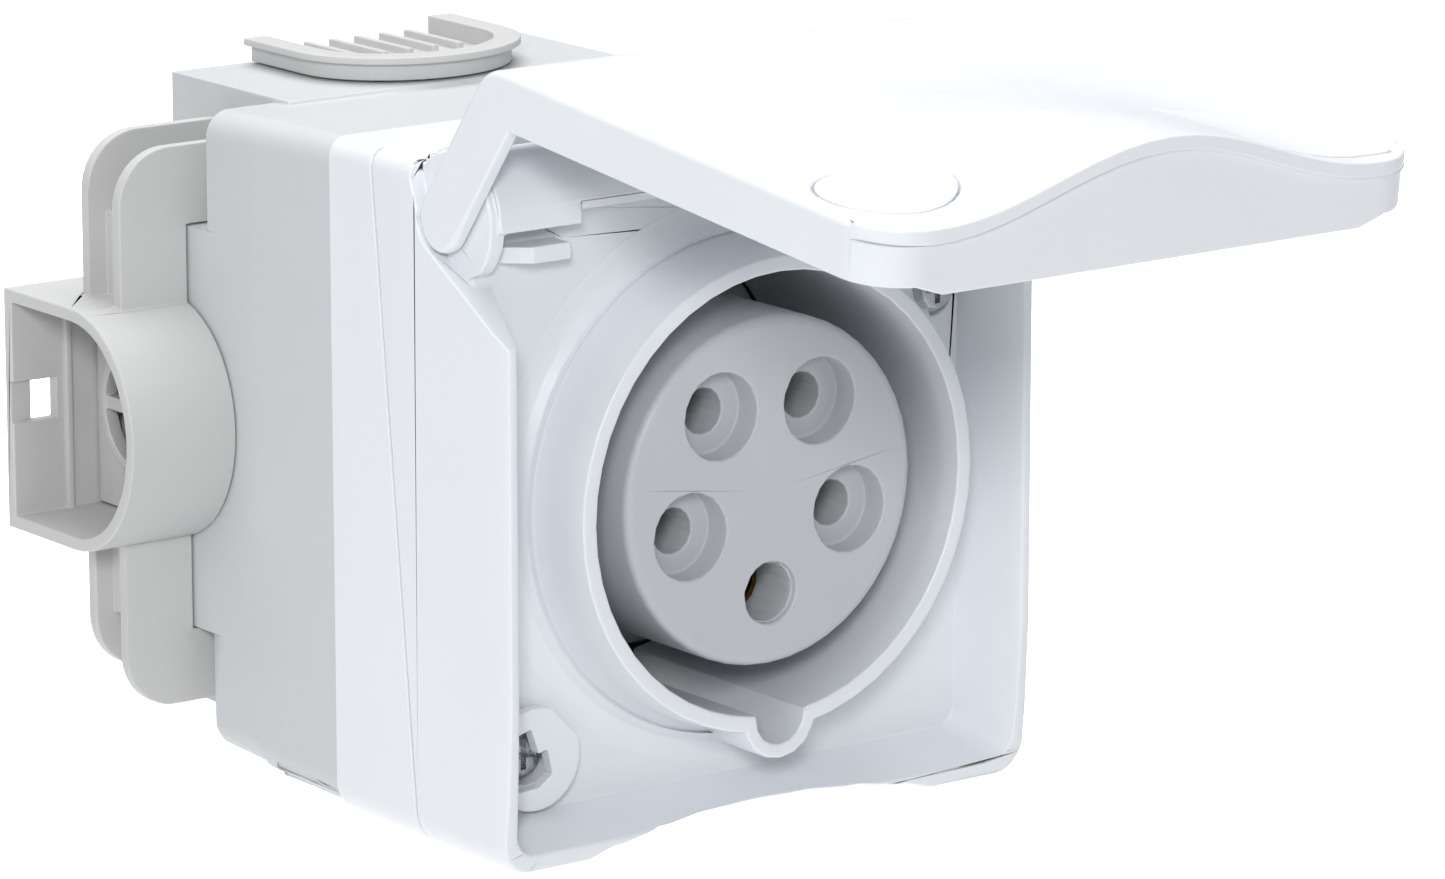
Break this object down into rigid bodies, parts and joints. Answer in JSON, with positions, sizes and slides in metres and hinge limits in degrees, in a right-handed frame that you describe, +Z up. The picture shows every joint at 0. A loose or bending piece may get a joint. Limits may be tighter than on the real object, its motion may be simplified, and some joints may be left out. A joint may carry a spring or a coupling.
{
  "type": "panel-mount industrial power socket with hinged lid",
  "caption": "Light grey five-pole industrial power socket with its hinged lid open, on a stepped wall box with side and top cable entries.",
  "frame": {"origin": "point on the flat back of the wall box that lies on the socket's axis", "axes": "+Y from the socket's open front to the back of the box, along the socket's axis; +Z up; X along the face, with -X on the side of the cable entry tube"},
  "size_m": [0.1113, 0.1909, 0.1155],
  "materials": {
    "white_cover": "satin injection-moulded white",
    "box_grey": "fine-grained light cool grey",
    "entry_grey": "fine-grained light warm grey",
    "carrier_grey": "fine-grained warm mid grey",
    "insert_grey": "smooth grey-white",
    "seal_rubber": "matt dark rubber",
    "contact_brass": "drawn, slightly tarnished",
    "zinc_steel": "bright zinc plate"
  },
  "bodies": {
    "housing": {"back_box": "box_grey", "mounting_flange": "white_cover", "flange_gasket": "seal_rubber", "cover_gasket": "seal_rubber", "cover_frame": "white_cover", "shroud": "white_cover", "side_cable_entry": "entry_grey", "side_entry_knockout": "entry_grey", "top_cable_entry": "entry_grey", "contact_carrier": "carrier_grey", "carrier_gasket": "seal_rubber", "contact_retainer": "carrier_grey", "contact_pe": "contact_brass", "terminal_screw_pe": "zinc_steel", "contact_l1": "contact_brass", "terminal_screw_l1": "zinc_steel", "contact_l2": "contact_brass", "terminal_screw_l2": "zinc_steel", "contact_l3": "contact_brass", "terminal_screw_l3": "zinc_steel", "contact_n": "contact_brass", "terminal_screw_n": "zinc_steel", "retainer_screw": "zinc_steel", "carrier_screw_1": "zinc_steel", "carrier_screw_2": "zinc_steel", "carrier_screw_3": "zinc_steel", "carrier_screw_4": "zinc_steel", "flange_screw_1": "zinc_steel", "flange_screw_2": "zinc_steel", "flange_screw_3": "zinc_steel", "flange_screw_4": "zinc_steel", "cover_screw_upper": "zinc_steel", "cover_screw_lower": "zinc_steel", "screw_cap": "insert_grey", "hinge_pin": "zinc_steel", "torsion_spring_left": "zinc_steel", "torsion_spring_right": "zinc_steel"},
    "lid": {"lid": "white_cover", "lid_gasket": "seal_rubber", "lid_roundel": "white_cover", "lid_label": "insert_grey"}
  },
  "joints": [
    {"name": "lid_hinge", "type": "hinge", "parent": "housing", "child": "lid", "pos_m": [0, -0.0894, 0.0427], "axis": [1, 0, 0], "range_deg": [-20, 83.7]}
  ]
}
